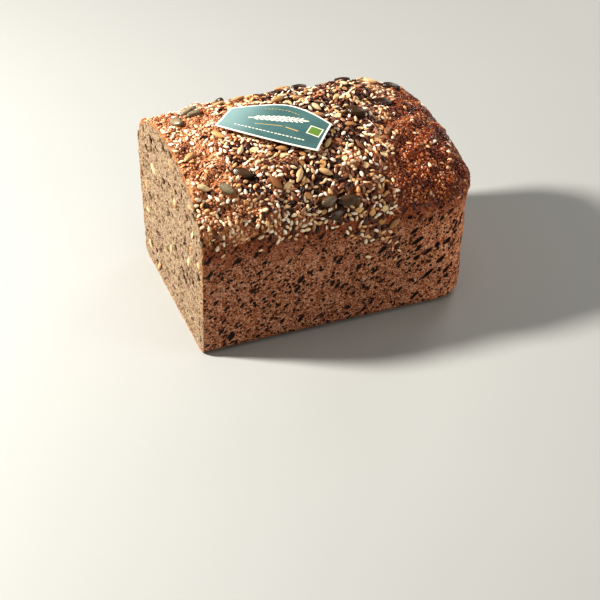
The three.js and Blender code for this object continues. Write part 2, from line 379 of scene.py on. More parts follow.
# Crust, tin wall and crumb in one finish: the mesh says where each is by the values kept on its points.
def breadMaterial():
    material, tree, shader, where = startMaterial("breadFinish")
    c = breadColours
    names = ("dome", "rise", "crumb", "hollow", "band", "bareEnd")
    dome, rise, crumb, hollow, band, bareEnd = [attribute(tree, name) for name in names]
    fine, grain = noiseOn(tree, where, 0.9, 3, 0.65), noiseOn(tree, where, 2.4, 4)
    broad, worn = noiseOn(tree, where, 16, 3), noiseOn(tree, where, 5, 4, 0.7)

    # The crust: painted shade in its pits, a painted highlight on its ridges, dark patches at random, and
    # painted shade between the seeds where they lie thick.
    rough = plus(tree, times(tree, grain, 1.3), times(tree, fine, 0.9))
    high = plus(tree, times(tree, rise, 0.35), calc(tree, "SUBTRACT", rough, 1.1))
    crust = mix(tree, bareEnd, c["crustLight"], c["crust"])
    # painted shade in the hollows of the crust, by its height
    crust = mix(tree, spread(tree, high, -0.42, 0.12), c["pit"], crust)
    ridge = mix(tree, bareEnd, c["ridge"], c["endRidge"])
    # painted highlight on the ridges of the crust, by its height
    crust = mix(tree, spread(tree, high, 0.12, 0.5, 0.0, 0.8), crust, ridge)
    crust = mix(tree, spread(tree, broad, 0.45, 0.7, 0.0, 0.4), crust, c["pit"])
    # painted shade: the crust turns dark between the seeds where they lie thick
    crust = mix(tree, spread(tree, attribute(tree, "seeded"), 0.15, 0.7, 0.0, 0.88), crust, c["pit"])

    # The tin wall: its pits, slits and tears, which get painted shade, near-black, then its grain.
    bent, marks = warped(tree, where, 2.2, 0.6), 0.0
    for size, share, radius, dark in wallMarks["pits"]:
        pits = times(tree, holesOn(tree, bent, size, share, radius), dark)
        marks = calc(tree, "MAXIMUM", pits, marks)
    for turn, long, size, share in wallMarks["slits"]:
        sockets = {"Vector": bent, "Rotation": (0.0, math.radians(-turn), 0.0), "Scale": (long, 1.2, 1.0)}
        lean = addNode(tree, "Mapping", sockets, vector_type="TEXTURE").outputs[0]
        marks = calc(tree, "MAXIMUM", marks, holesOn(tree, lean, size, share, wallMarks["slitRadius"]))
    ragged = plus(tree, attribute(tree, "tear"), times(tree, fine, 0.9))
    marks = calc(tree, "MAXIMUM", marks, spread(tree, ragged, 0.66, 0.9))
    grit = plus(tree, times(tree, fine, 0.7), times(tree, grain, 0.3))
    wall = mix(tree, spread(tree, grit, 0.38, 0.52), c["wallDark"], c["wall"])
    wall = mix(tree, spread(tree, grit, 0.49, 0.62, 0.0, 0.85), wall, c["wallPale"])
    wall = mix(tree, spread(tree, worn, 0.45, 0.7, 0.0, 0.35), wall, c["wallPale"])
    # painted light: the wall is brightened towards the baked end
    along = addNode(tree, "SeparateXYZ", {0: where}).outputs[0]
    brighter = spread(tree, along, wallBrighter["from"], wallBrighter["to"])
    wall = mix(tree, brighter, wall, wallBrighter["times"], "MULTIPLY")
    wall = mix(tree, times(tree, attribute(tree, "shoulder"), 0.75), wall, c["shoulder"])
    # painted shade: the pits, slits and tears turn near-black
    wall = mix(tree, marks, wall, c["slit"])

    # The crumb: bran flecks, painted shade in its holes, and the crust's rim round it.
    crumbTone = plus(tree, noiseOn(tree, where, 1.5, 5, 0.75), times(tree, worn, 0.4))
    inside = mix(tree, spread(tree, crumbTone, 0.52, 0.85), c["crumb"], c["crumbPale"])
    flecks = holesOn(tree, warped(tree, where, 1.5, 0.3), *wallMarks["flecks"])
    inside = mix(tree, times(tree, flecks, 0.85), inside, c["bran"])
    # painted shade, darker the deeper the hole
    inside = mix(tree, spread(tree, hollow, 0.05, 0.6), inside, c["crumbDeep"])
    inside = mix(tree, times(tree, band, spread(tree, grain, 0.3, 0.6)), inside, c["rim"])

    gloss = mixValues(tree, bareEnd, spread(tree, high, -0.3, 0.5, 0.55, 0.32), 0.24)
    dents = times(tree, marks, wallMarks["deep"])
    wallHeight = calc(tree, "SUBTRACT", times(tree, fine, 0.9), dents)
    height = mixValues(tree, dome, wallHeight, rough)
    height = mixValues(tree, crumb, height, noiseOn(tree, where, 0.8, 4, 0.75))
    fillSockets(shader, {
        "Base Color": mix(tree, crumb, mix(tree, dome, wall, crust), inside),
        "Roughness": mixValues(tree, crumb, mixValues(tree, dome, 0.7, gloss), 0.8),
        "Specular IOR Level": 0.3,
        "Normal": bumpOf(tree, height, 0.9),
    })
    return material


# The label: a small sheet with an arched upper edge, bent over the crown and lying on the kernels.
labelSheet = {
    "centre": (-21.4, -11.5),
    "turn": -34.7,            # degrees from the loaf's length, seen from above
    "halfLength": 26.3,
    "lean": 0.16,             # how far its ends slant
    "endHeight": 9.7,         # half the height at the ends
    "arch": 8.0,              # rise of the upper edge's middle
    "archRound": 0.22,        # share of the length over which its top is rounded
    "archPower": 1.2,
    "belly": 2.9,             # drop of the lower edge's middle
    "lift": 3.1,              # height over the bare crust
    "curl": 1.0,              # how much more the lower edge stands off
    "thickness": 0.4,
    "cells": (72, 36, 1),
    "border": 0.95,
    "borderSoft": 0.12,
}


def labelEdges(s):  # how far it reaches above and below its middle line at share s of the half length
    power, rounded = labelSheet["archPower"] / 2, labelSheet["archRound"] ** 2
    flank = ((s * s + rounded) ** power - rounded ** power) / ((1 + rounded) ** power - rounded ** power)
    end = labelSheet["endHeight"]
    return end + labelSheet["arch"] * (1 - flank), end + labelSheet["belly"] * (1 - s * s)


def labelPlan(along, up):  # from the label's own millimetres to the loaf's plan
    turn, (cx, cy) = math.radians(labelSheet["turn"]), labelSheet["centre"]
    slanted = along + labelSheet["lean"] * up
    x = cx + slanted * math.cos(turn) - up * math.sin(turn)
    return x, cy + slanted * math.sin(turn) + up * math.cos(turn)


def labelOwn(x, y):  # and back
    turn, (cx, cy) = math.radians(labelSheet["turn"]), labelSheet["centre"]
    dx, dy = x - cx, y - cy
    up = -dx * math.sin(turn) + dy * math.cos(turn)
    return dx * math.cos(turn) + dy * math.sin(turn) - labelSheet["lean"] * up, up


def labelPoint(along, up, above):
    x, y = labelPlan(along, up)
    a, b = x / endX, y / sideY
    lower = labelEdges(along / labelSheet["halfLength"])[1]
    lift = labelSheet["lift"] + labelSheet["curl"] * clamp01(-up / lower) ** 2 + above
    out = np.array([topNormal(*ab) for ab in zip(a, b)])
    return loafPoint(a, b, np.ones_like(a)) + out * lift[:, None]


def underLabel(spot, tall):  # whether something this tall there would poke into the sheet
    along, up = labelOwn(spot[0], spot[1])
    s = abs(along) / labelSheet["halfLength"]
    upper, lower = labelEdges(min(1, s))
    if s > 1.06 or spot[2] < wallTop or up > upper + 1 or up < -lower - 1:
        return False
    a, b = np.array([spot[0] / endX]), np.array([spot[1] / sideY])
    return spot[2] + tall > topHeight(a, b)[0] + labelSheet["lift"] - 0.3


def labelShade(p):  # 1 where the label lies over the crust, 0 clear of it
    along, up = labelOwn(p[:, 0], p[:, 1])
    far = np.hypot(along / (labelSheet["halfLength"] + 1), (up - 3) / 20)
    return (1 - smooth(far, 0.85, 1.2)) * (p[:, 2] > wallTop)


# Where the seeds lie over the crust.
seedField = {
    "patches": (0.9, 31.0),   # how patchy the cover is, and where the noise of its patches is read
    "lastAtMiddle": 45.0,     # the seeds stop along a slanting line over the dome
    "slant": 0.38,
    "fade": (-13, 7),         # from where to where they thin out about that line
    "bareEnd": (34, 56),      # from where to where the crust turns to the bare baked end
    "stray": 0.002,           # share that lies beyond it
    "lowest": (60.0, 78.0),   # they thin out down the walls between these heights
    "thin": (-58.0, 2.0, 0.08),   # thinner towards the cut: from, to and share left there
    "bareShare": 0.95,        # how much thinner they lie in the bare places
    # places, each with its reach in millimetres
    "bare": [
        (-57, -13, 100, 12), (-52, -26, 98, 11), (-35, -37, 94, 9), (-50, 9, 101, 9), (-64, -30, 96, 9),
        (-24, -33, 97, 6), (17, -34, 95, 7), (-8, -48, 86, 5), (34, -10, 100, 8), (30, -44, 87, 7),
    ],
    "thick": [
        (12, 16, 101, 22), (-9, -40, 93, 12), (-38, -20, 100, 9), (20, -54, 66, 9), (2, 30, 97, 14),
        (14, -20, 100, 11), (-45, -39, 91, 6), (30, 4, 101, 13),
    ],
}


def nearPlace(p, x, y, z, reach):  # 1 at the place, falling to 0 past its reach
    return np.exp(-((p[:, 0] - x) ** 2 + (p[:, 1] - y) ** 2 + (p[:, 2] - z) ** 2) / reach ** 2)


def seedCover(p, clump, shift):  # 0 where no kernel of a kind lies, 1 where they lie thickest
    x, y, z = p[:, 0], p[:, 1], p[:, 2]
    start, full, least = seedField["thin"]
    last = x - seedField["lastAtMiddle"] - seedField["slant"] * y - 5 * noiseAt(p, 12, 2, 2.0)
    cover = (1 - smooth(last, *seedField["fade"])) * (least + (1 - least) * smooth(x, start, full))
    cover *= smooth(z + 6 * noiseAt(p, 15, 3, 8.0), *seedField["lowest"])
    cover *= 1 - clump + clump * smooth(noiseAt(p, 11, 3, shift), -0.42, 0.2)
    for place in seedField["bare"]:
        cover *= 1 - seedField["bareShare"] * nearPlace(p, *place)
    for place in seedField["thick"]:
        cover = cover + nearPlace(p, *place) * (1 - cover) * (last < 0)
    return cover + seedField["stray"] * (last > 0) * (z > 74)


def bareShare(p):  # 0 on the seeded part of the crust, 1 on the bare baked end
    return smooth(p[:, 0] - seedField["slant"] * p[:, 1] + 5 * noiseAt(p, 12, 2, 2.0), *seedField["bareEnd"])


def grainCover(p, zone):  # the crust's own crumbs lie over the whole dome
    ragged = 71 + 4 * noiseAt(p, 10, 3, 5.0)
    bare, seeds = bareShare(p), seedCover(p, *seedField["patches"])
    share = bare if zone == "bare" else (1 - 0.9 * bare) * (1 - 0.85 * seeds)
    return smooth(p[:, 2], ragged - 4, ragged + 3) * share


# The bread: one gridded box bent into the loaf, then parted into the baked body and the piece with the cut.

def gridBox(cells):
    bm = bmesh.new()
    bmesh.ops.create_cube(bm, size=2)
    for axis, count in enumerate(cells):
        edges = [e for e in bm.edges if abs(e.verts[0].co[axis] - e.verts[1].co[axis]) > 1e-6]
        bmesh.ops.subdivide_edges(bm, edges=edges, cuts=count - 1)
    return bm


# Size and height of each kind of unevenness.
crustRelief = {
    "lumps": (3.0, 1.0),
    "knobs": (1.7, 0.5),
    "folds": (8.0, 1.3),
    "wall": (9.0, 0.22),
}
# Tears in the tin walls, longer than wide and leaning the way the dough rose.
wallTears = {
    "depth": 0.9,
    "apart": 7.5,
    "share": 0.55,
    "radius": 0.2,
    "stretch": 2.3,
    "turn": 38,
    # those that show most: place along and up the long wall, half length, half width, turn
    "known": [
        (43, 46, 4.2, 1.2, 33), (52, 22, 4.2, 1.3, 45), (60.5, 41.5, 3.2, 1.1, 38),
        (40.5, 52.5, 2.8, 1.1, 42), (55, 40, 1.8, 1.3, 60), (44, 34.5, 2.0, 1.4, 30),
        (49, 57.5, 1.5, 1.2, 60), (66.5, 50, 2.4, 1.1, 60), (50, 37, 3.4, 1.0, 40),
        (58, 30, 2.8, 1.3, 40), (62.5, 22, 2.4, 1.2, 50), (37, 62, 1.6, 1.1, 30),
    ],
}


def tearsAt(points):
    w = wallTears
    along, up = points[:, 0] + points[:, 1] + sideY, points[:, 2]
    turn = math.radians(w["turn"])
    long, wide = along * math.cos(turn) + up * math.sin(turn), up * math.cos(turn) - along * math.sin(turn)
    places = np.stack([long / w["stretch"], wide, 0 * wide], -1)
    onLong = points[:, 1] < -45
    depth = poresAt(places, w["apart"], w["share"], w["radius"], w["depth"]) * ~(onLong & (along > 33))
    for x, z, half, thin, angle in w["known"]:
        turn, dx, dz = math.radians(angle), along - x, up - z
        u, v = dx * math.cos(turn) + dz * math.sin(turn), dz * math.cos(turn) - dx * math.sin(turn)
        known = w["depth"] * np.sqrt(clamp01(1 - (u / half) ** 2 - (v / thin) ** 2)) * onLong
        depth = np.maximum(depth, known)
    return depth * (1 - smooth(up, 63, 66)) * smooth(up, 3, 7)


def bendBread(mesh):
    box = readPoints(mesh)
    place = [np.rint((box[:, i] + 1) / 2 * gridCells[i]).astype(int) for i in range(3)]
    a, b, c = alongShares()[place[0]], acrossShares()[place[1]], place[2] / gridCells[2]
    points = loafPoint(a, b, c)
    writePoints(mesh, points * mm)
    out = readAll(mesh.vertex_normals, "vector", 3).astype(float)
    out[place[0] == 0, 0] = 0

    edge = wallTop + 3.0 * noiseAt(points, 14, 3, 5.0) + 0.06 * np.clip(points[:, 0] - 20, 0, None)
    dome = smooth(points[:, 2], edge - 3.0, edge + 2.5)
    rise = np.zeros(len(points))
    for size, height in (crustRelief["lumps"], crustRelief["knobs"]):
        rise += height * (lumpsAt(points, size, size) - 0.45)
    size, height = crustRelief["folds"]
    bare = bareShare(points)
    rise += height * noiseAt(points, size, 4) * (1 - 0.6 * bare)
    tears, shade = tearsAt(points), labelShade(points)
    size, height = crustRelief["wall"]
    onWall = height * noiseAt(points, size, 3, 2.0) - tears
    offEnd = 1 - 0.35 * smooth(points[:, 0], 60, 75)
    rise *= 1 - 0.5 * shade
    relief = (onWall + (rise - onWall) * dome) * clamp01(points[:, 2] / 6) * offEnd
    lift = broadRelief(points) * (1 - 0.6 * shade) + relief
    inner = place[0] == 0
    for axis in (1, 2):
        inner &= (place[axis] > 0) & (place[axis] < gridCells[axis])
    lift[inner | (place[2] == 0)] = 0
    writePoints(mesh, (points + out * lift[:, None]) * mm)
    storeValues(
        mesh, dome=dome, rise=rise, tear=clamp01(tears / wallTears["depth"]), bareEnd=bare,
        # where the seeds lie thick the crust gets painted shade between them
        seeded=seedCover(points, *seedField["patches"]),
        shoulder=smooth(points[:, 2] + 4 * noiseAt(points, 9, 3, 6.0), 50, 68),
        crumb=inner.astype(float), hollow=np.zeros(len(points)),
        deepTop=topHeight(a, b) - points[:, 2], deepSide=(1 - np.abs(b)) * sideY,
    )


# Keeps one side of the split and closes it there and at the base with flat faces.
def partOf(mesh, name, keepCut):
    split = -endX * mm + loafShape["crumbPiece"] * mm
    bm = bmesh.new()
    bm.from_mesh(mesh)
    spare = [f for f in bm.faces if (f.calc_center_median().x < split) != keepCut]
    bmesh.ops.delete(bm, geom=spare, context="FACES")
    rim = [e for e in bm.edges if e.is_boundary]
    bmesh.ops.contextual_create(bm, geom=rim)
    for e in rim:  # keeps the shading even across the join of the two pieces
        e.smooth = False
    base = [f for f in bm.faces if all(v.co.z < 1e-7 for v in f.verts)]
    bmesh.ops.dissolve_faces(bm, faces=base)
    bmesh.ops.recalc_face_normals(bm, faces=bm.faces)
    for f in bm.faces:
        f.smooth = len(f.verts) < 9
    return meshFrom(bm, name)


crumbHoles = {
    "band": (2.2, 1.0),       # crust at the top and at the sides of the cut, which has few holes
    # each: how far apart in millimetres, share of places that have one, radius in those steps, depth
    "sizes": [(6.5, 0.5, 0.44, 4.0), (3.4, 0.75, 0.46, 2.6), (1.9, 0.9, 0.5, 1.6), (1.15, 0.9, 0.5, 0.9)],
    "torn": 0.35,             # roughness that the knife left
    "chips": 1.3,             # how far the crust's edge is chipped
}


# Opens the cut face: finer cells, then holes of several sizes pressed into them.
def openCrumb(mesh):
    bm = bmesh.new()
    bm.from_mesh(mesh)
    cut = -endX * mm
    face = [f for f in bm.faces if len(f.verts) == 4 and all(abs(v.co.x - cut) < 1e-6 for v in f.verts)]
    edges = list({e for f in face for e in f.edges})
    bmesh.ops.subdivide_edges(bm, edges=edges, cuts=1, use_grid_fill=True)
    bm.to_mesh(mesh)
    bm.free()
    points = readPoints(mesh) / mm
    onCut = np.abs(points[:, 0] + endX) < 1e-3
    topBand, sideBand = crumbHoles["band"]
    shares = np.minimum(readValues(mesh, "deepTop") / topBand, readValues(mesh, "deepSide") / sideBand)
    depthIn = np.minimum(shares, points[:, 2] / sideBand) + 0.5 * noiseAt(points, 5, 3, 9.0)
    inner = onCut & (readValues(mesh, "crumb") > 0.99)
    face = points[inner]
    bentFace = face * (1, 0.8, 1) + 0.5 * np.stack([noiseAt(face, 2.5, 2, k) for k in (1.0, 7.0, 13.0)], -1)
    depth = np.zeros(len(points))
    for hole in crumbHoles["sizes"]:
        depth[inner] = np.maximum(depth[inner], poresAt(bentFace, *hole))
    depth *= smooth(depthIn, 0.8, 1.6)
    torn = crumbHoles["torn"] * (noiseAt(face, 1.6, 3, 3.0) + 0.5)
    chips = np.clip(crumbHoles["chips"] * noiseAt(points[onCut], 3.0, 4, 21.0), -0.6, 1.6)
    chips *= (1 - smooth(depthIn[onCut], 0.3, 2.0)) * (0.3 + 0.7 * smooth(points[onCut, 2], 55, 72))
    points[:, 0] += depth
    points[onCut, 0] += chips
    points[inner, 0] += torn * smooth(depthIn, 0.5, 1.5)[inner]
    writePoints(mesh, points * mm)
    band = (1 - smooth(depthIn, 0.2, 1.2)) * onCut
    # hollow also sets how much painted shade a hole gets
    storeValues(mesh, hollow=clamp01(depth / 2.0), band=band, crumb=onCut.astype(float))


def makeBread(material):
    whole = meshFrom(gridBox(gridCells), "wholeLoaf")
    bendBread(whole)
    body, cutPiece = partOf(whole, "bakedBody", False), partOf(whole, "cutCrumb", True)
    none = np.zeros(len(body.vertices))
    storeValues(body, crumb=none, band=none)
    openCrumb(cutPiece)
    bpy.data.meshes.remove(whole)
    return [addPiece(part, material, "loaf") for part in (body, cutPiece)]


breadPieces = makeBread(breadMaterial())
print("bread:", [len(p.data.polygons) for p in breadPieces], "faces")


# Kernels. Each kind is one small pattern, copied over the crust as one joined mesh. What follows here holds
# for every kind that doesn't say otherwise.
anyKernel = dict(
    sides=0,        # around the pattern; 0 makes it a rough crumb
    blunt=0.0,      # how much the back end narrows, as tip is for the front end
    bead=0.0,       # raised rim
    close=0.66,     # share of its room that it keeps clear of other kinds, as apart is for its own kind
    sunk=0.0,       # share of its thickness that lies below what carries it
    tilt=0.9,
    bend=0.0,
    known=(),       # kernels that stand out: place, angle in degrees, tone, and size if it is unusual
    cut=None,       # how many are baked into the crumb, which the cut face shows, and their name there
    coat=0.1,
    shine=0.5,
    edge=0.45,      # how dark it turns round its side
)
usualSize = 0.92    # of the known kernels
kernelKinds = {
    "pumpkinSeeds": dict(
        anyKernel, half=(5.8, 3.3, 1.95), sides=20, rings=16, tip=0.5, blunt=0.15, bead=0.2,
        count=16, apart=14.0, close=1.0, sizes=(0.85, 1.05), clump=0.3, shift=3.0,
        sunk=0.3, tilt=0.5, bend=0.5,
        tones=("#35190b", "#5e4526", "#a19274"), mark="#1c1008", marks=0.75, streak=(0.3, 1.5),
        rough=0.22, coat=0.0, shine=0.55, edge=0.6,
        known=[
            (24, -11, 102, -52, 0.3, 1.1), (43, -2, 99, -25, 0.1), (58, 21, 95, -8, 0.15),
            (-54, 27, 97, 18, 0.95), (-54, 18, 100, 40, 0.85), (-64, 13, 100, -70, 0.8),
            (-46, -34, 95, -41, 0.3), (-57, -40, 91, -51, 0.9, 0.8), (4, -52, 79, -4, 0.4, 1.05),
            (-7, -52, 80, 15, 0.65, 0.85), (-4, -54, 73, 12, 0.3, 0.75), (12, 40, 90, 30, 0.3),
            (-32, 44, 86, 80, 0.6), (34, 32, 92, 120, 0.2), (-8, 51, 79, 10, 0.5), (22, 53, 74, -20, 0.7),
        ],
    ),
    "sunflowerSeeds": dict(
        anyKernel, half=(4.4, 2.0, 1.35), sides=14, rings=10, tip=0.55, blunt=0.05,
        count=40, apart=8.0, close=0.8, sizes=(0.75, 1.1), clump=0.6, shift=11.0,
        sunk=0.2, tilt=0.4, bend=0.3,
        tones=("#efd0a0", "#d3a268", "#8f5c36"), mark="#7a5234", marks=0.35, streak=(0.3, 1.6), rough=0.42,
        known=[
            (-49, -6, 101, -48, 0.5), (-68, -38, 93, -15, 0.1), (-19, -42, 92, -110, 0.3),
            (-4, -43, 92, -46, 0.4), (-26, 31, 98, 2, 0.5), (-68, -18, 99, 28, 0.6), (28, -55, 61, 37, 0.8),
            (-38, 27, 99, 15, 0.4),
        ],
        cut=(14, "cutSunflowers"),
    ),
    "oatFlakes": dict(
        anyKernel, half=(2.9, 2.0, 0.32), sides=14, rings=8, tip=0.2, bead=0.5,
        count=64, apart=5.5, close=0.7, sizes=(0.55, 1.1), tilt=0.5, bend=0.6, clump=0.7, shift=17.0,
        tones=("#f3d8a6", "#dcaa6c", "#bd7f45"), mark="#8a562c", marks=0.45, streak=(0.6, 1.4),
        rough=0.6, coat=0.0, edge=0.4,
        known=[
            (17, -42, 90, -50, 0.2), (31, -22, 98, 4, 0.4), (29, -29, 96, -39, 0.4), (16, -55, 70, 60, 0.5),
        ],
    ),
    "linseeds": dict(
        anyKernel, half=(2.35, 1.1, 0.55), sides=10, rings=7, tip=0.45,
        count=600, apart=2.3, sizes=(0.9, 1.15), clump=0.98, shift=31.0,
        tones=("#2c1008", "#6a331b", "#b48260"), mark="#140603", marks=0.3, streak=(0.5, 0.9),
        rough=0.24, edge=0.4,
        known=[
            (43, -55, 61, 60, 0.5), (62, -54, 39, 120, 0.4), (29, -54, 51, 20, 0.6), (31, -54, 45, 70, 0.3),
            (27, -54, 41, 110, 0.5), (34, -53, 34, 30, 0.7), (25, -54, 47, 150, 0.4),
        ],
        cut=(70, "cutLinseeds"),
    ),
    "sesameSeeds": dict(
        anyKernel, half=(1.6, 0.92, 0.52), sides=8, rings=6, tip=0.5,
        count=1400, apart=1.9, sizes=(0.85, 1.2), clump=0.92, shift=31.0,
        tones=("#fff3dc", "#fbdfb4", "#e0a86e"), mark="#a5682f", marks=0.25, streak=(0.6, 0.9), rough=0.4,
        known=[
            (30, -54, 48, 20, 0.5), (28, -54, 44, 80, 0.7), (32, -54, 42, 140, 0.6), (26, -54, 50, 50, 0.5),
            (30, -53, 37, 20, 0.8), (64, -55, 68, 10, 0.9), (57, -55, 59, 60, 0.9),
        ],
    ),
    "crustCrumbs": dict(
        anyKernel, half=(0.95, 0.75, 0.6), grains="seeded",
        count=3900, apart=0.9, close=0.6, sizes=(0.45, 1.5), sunk=0.72, tilt=1.0,
        tones=("#6e2c10", "#c67c4b", "#f2c39b"), mark="#45170a", marks=0.5, streak=(0.9, 0.9),
        rough=0.45, edge=0.5,
    ),
    "endGrains": dict(
        anyKernel, half=(0.85, 0.68, 0.6), grains="bare",
        count=4600, apart=0.85, close=0.6, sizes=(0.45, 1.35), sunk=0.85, tilt=1.0,
        tones=("#481304", "#913d10", "#dc8438"), mark="#2c0b03", marks=0.55, streak=(0.9, 0.9),
        rough=0.2, coat=0.2, shine=0.6,
    ),
}


# A kernel as triangles: length along X, drawn out to a tip at +X, thickness along Z.
def kernelPattern(kind):
    bm = bmesh.new()
    half = kind["half"]
    if kind["sides"]:
        bmesh.ops.create_uvsphere(bm, u_segments=kind["sides"], v_segments=kind["rings"], radius=1)
        if not kind["bead"]:
            bmesh.ops.rotate(bm, verts=bm.verts, cent=(0, 0, 0), matrix=Matrix.Rotation(math.pi / 2, 3, "Y"))
        for v in bm.verts:
            x, y, z = v.co
            slim = 1 - kind["tip"] * max(0, x) ** 1.5 - kind["blunt"] * max(0, -x) ** 2
            r = math.hypot(x, y)
            rim = math.exp(-((r - 0.93) / 0.06) ** 2) - 0.6 * math.exp(-((r - 0.8) / 0.08) ** 2)
            z += math.copysign(kind["bead"] * rim * (abs(z) > 0.01), z)
            v.co = (x * half[0], y * half[1] * slim, z * half[2])
    else:
        bmesh.ops.create_icosphere(bm, subdivisions=1, radius=1)
        for v in bm.verts:
            v.co = Vector(half) * (1 + 0.5 * noise.noise(v.co * 1.7)) * v.co
    bmesh.ops.triangulate(bm, faces=bm.faces)
    bmesh.ops.recalc_face_normals(bm, faces=bm.faces)
    points = np.array([v.co[:] for v in bm.verts])
    faces = np.array([[v.index for v in f.verts] for f in bm.faces])
    bm.free()
    return points, faces


def gatherCopies(rows):
    keys = ("spot", "turn", "scale", "bend", "tone")
    return {key: np.array(column) for key, column in zip(keys, zip(*rows))}


# Every copy takes its own size, bend, turn and place; the copies become one mesh.
def joinCopies(name, kind, copies):
    points, faces = kernelPattern(kind)
    many, count = points[None] * copies["scale"][:, None, :], len(copies["tone"])
    own = many + 90 * copies["tone"][:, None, None]  # each reads its streaks at a place of its own
    many[:, :, 2] += copies["bend"][:, None] * ((points[:, 0] / kind["half"][0]) ** 2 - 0.4)[None]
    many = (np.einsum("nij,nvj->nvi", copies["turn"], many) + copies["spot"][:, None, :]).reshape(-1, 3)
    allFaces = (faces[None] + len(points) * np.arange(count)[:, None, None]).reshape(-1, 3)
    mesh = bpy.data.meshes.new(name)
    mesh.from_pydata((many * mm).tolist(), [], allFaces.tolist())
    if kind["sides"]:
        mesh.shade_smooth()
    out = np.hypot(points[:, 0] / kind["half"][0], points[:, 1] / kind["half"][1])
    storeValues(mesh, tone=np.repeat(copies["tone"], len(points)), brim=np.tile(out, count))
    layer = mesh.attributes.new("own", "FLOAT_VECTOR", "POINT")
    layer.data.foreach_set("vector", own.reshape(-1).astype(np.float32))
    return mesh, many, allFaces


def groundOut(ground, point, reach=3.0):  # mean outward way of the ground near a point
    near = ground.find_nearest_range(point, reach)
    return sum((n for _, n, _, _ in near), Vector()).normalized() if near else Vector((0, 0, 1))


# Lays one kernel on what is there already, flat on the four places under its ends and sides.
def layKernel(ground, spot, out, angle, kind, size, rng):
    hit = ground.ray_cast(spot + out * 9, -out, 20)[0]
    if hit is None:
        return None
    c, s = math.cos(angle), math.sin(angle)
    level = Vector((c, s, 0)) if out.z > 0.6 else Vector((c, 0, s))
    way = (level - out * level.dot(out)).normalized()
    side, half, feet = out.cross(way), kind["half"], []
    for step in (way * half[0], -way * half[0], side * half[1], -side * half[1]):
        flat = hit + step * size * 0.75
        foot = ground.ray_cast(flat + out * 9, -out, 20)[0]
        feet.append(foot if foot is not None and abs((foot - hit).dot(out)) < 3 else flat)
    up = (feet[0] - feet[1]).cross(feet[2] - feet[3]).normalized()
    lean = side * rng.uniform(-1, 1) * kind["tilt"] * 0.5 + way * rng.uniform(-1, 1) * kind["tilt"] * 0.35
    up = (up + out * 0.35 + lean).normalized()
    ahead = (feet[0] - feet[1]).normalized()
    ahead = (ahead - up * ahead.dot(up)).normalized()
    raised = max(0.55 * sum((f - hit).dot(out) for f in feet) / 4, -0.4)
    centre = hit + out * raised + up * half[2] * size * (1 - kind["sunk"])
    return centre, np.array([ahead[:], up.cross(ahead)[:], up[:]]).T


def scatterKernels(kind, ground, bare, skin, taken, rng):
    centres, areas = skin
    if kind["sides"]:
        cover = seedCover(centres, kind["clump"], kind["shift"])
    else:
        cover = grainCover(centres, kind["grains"])
    weight = areas * cover
    tries = min(kind["count"] * 8, int((weight > 0).sum()))
    order = rng.choice(len(centres), size=tries, replace=False, p=weight / weight.sum())
    known, half, rows = kind["known"], kind["half"], []
    own, others = np.empty((kind["count"], 3)), taken["spots"]
    for i in range(len(known) + len(order)):
        if len(rows) >= kind["count"]:
            break
        size, angle, tone = rng.uniform(*kind["sizes"]), rng.uniform(0, 2 * math.pi), rng.uniform()
        if i < len(known):
            x, y, z, angle, tone, *wide = known[i]
            spot, angle = bare.find_nearest(Vector((x, y, z)))[0], math.radians(angle)
            size = wide[0] if wide else usualSize
        else:
            spot = Vector(centres[order[i - len(known)]])
            here, reach = np.array(spot[:]), (half[0] + half[1]) / 2 * size
            if rows and np.min(np.linalg.norm(own[:len(rows)] - here, axis=1)) < kind["apart"] * size:
                continue
            room = (taken["reach"] + reach) * kind["close"]
            if len(others) and np.any(np.linalg.norm(others - here, axis=1) < room):
                continue
        laid = layKernel(ground, spot, groundOut(bare, spot), angle, kind, size, rng)
        if laid is None or laid[0].x < half[0] * 0.8 - endX:
            continue
        if underLabel(laid[0], (half[2] + kind["tilt"] * 0.5) * size):
            continue
        own[len(rows)] = spot[:]
        scale = size * np.array([rng.uniform(0.92, 1.08), rng.uniform(0.88, 1.1), rng.uniform(0.85, 1.15)])
        rows.append((laid[0][:], laid[1], scale, rng.uniform(-1, 1) * kind["bend"] * size, tone))
    copies = gatherCopies(rows)
    long = half[0] > 3.5  # a long kernel keeps three places clear, one after the other
    reach = 1.35 * half[1] if long else (half[0] + half[1]) / 2
    for share in (-0.55, 0.0, 0.55) if long else (0.0,):
        spots = own[:len(rows)] + share * half[0] * copies["turn"][:, :, 0]
        taken["spots"] = np.concatenate([taken["spots"], spots])
        taken["reach"] = np.concatenate([taken["reach"], np.full(len(rows), reach)])
    return copies


# A tone picked kernel by kernel, streaks along each one, and a darker side.
def kernelMaterial(name, kind):
    material, tree, shader, _ = startMaterial(name)
    tones = [hexColour(text) for text in kind["tones"]]
    tone = rampOn(tree, attribute(tree, "tone"), list(zip((0.1, 0.55, 0.95), tones)))
    long, fine = kind["streak"]
    sockets = {"Vector": attribute(tree, "own", "Vector"), "Scale": (long, fine, fine)}
    stretched = addNode(tree, "Mapping", sockets).outputs[0]
    sockets = {"Vector": stretched, "Scale": 1.0, "Detail": 4.0, "Roughness": 0.65}
    streak = addNode(tree, "TexNoise", sockets).outputs["Fac"]
    marks = times(tree, spread(tree, streak, 0.45, 0.75), kind["marks"])
    brim = spread(tree, attribute(tree, "brim"), 0.6, 1.0, 0.0, kind["edge"])
    marks = calc(tree, "MAXIMUM", marks, brim)
    fillSockets(shader, {
        "Base Color": mix(tree, marks, tone, hexColour(kind["mark"])),
        "Roughness": spread(tree, streak, 0.2, 0.8, kind["rough"] - 0.08, kind["rough"] + 0.15),
        "Specular IOR Level": kind["shine"],
        "Coat Weight": kind["coat"],
        "Coat Roughness": 0.25,
        "Normal": bumpOf(tree, streak, 0.25),
    })
    return material


